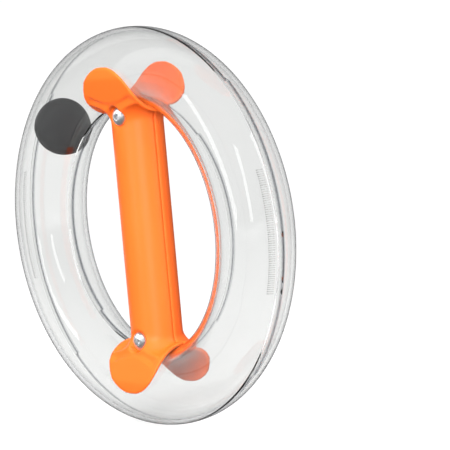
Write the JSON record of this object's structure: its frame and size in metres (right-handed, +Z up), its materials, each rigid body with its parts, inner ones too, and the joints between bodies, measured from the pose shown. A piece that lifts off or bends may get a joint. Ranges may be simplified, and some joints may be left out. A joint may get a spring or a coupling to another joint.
{
  "type": "rolling ball coordination ring",
  "caption": "Hand-held clear tube ring with a dark ball that rolls round inside it and an orange two-part grip across the middle, fixed with button-head screws.",
  "frame": {"origin": "centre of the ring, on its axis and its mid-plane", "axes": "+Y along the ring's axis towards the rear face, +Z up along the grip, +X across the hole"},
  "size_m": [0.24, 0.0488, 0.24],
  "materials": {
    "clear_shell": "water-clear polished moulded plastic",
    "ball_rubber": "matt black rubber",
    "orange_plastic": "satin moulded plastic, fine spark-eroded grain",
    "zinc_steel": "bright zinc-plated steel"
  },
  "bodies": {
    "ring": {"front_shell": "clear_shell", "rear_shell": "clear_shell", "handle_front": "orange_plastic", "handle_rear": "orange_plastic", "upper_screw": "zinc_steel", "lower_screw": "zinc_steel", "upper_nut": "zinc_steel", "lower_nut": "zinc_steel"},
    "ball": {"rolling_ball": "ball_rubber"}
  },
  "joints": [
    {"name": "ball_orbit", "type": "hinge", "parent": "ring", "child": "ball", "pos_m": [0, 0, 0], "axis": [0, 1, 0], "continuous": true}
  ]
}
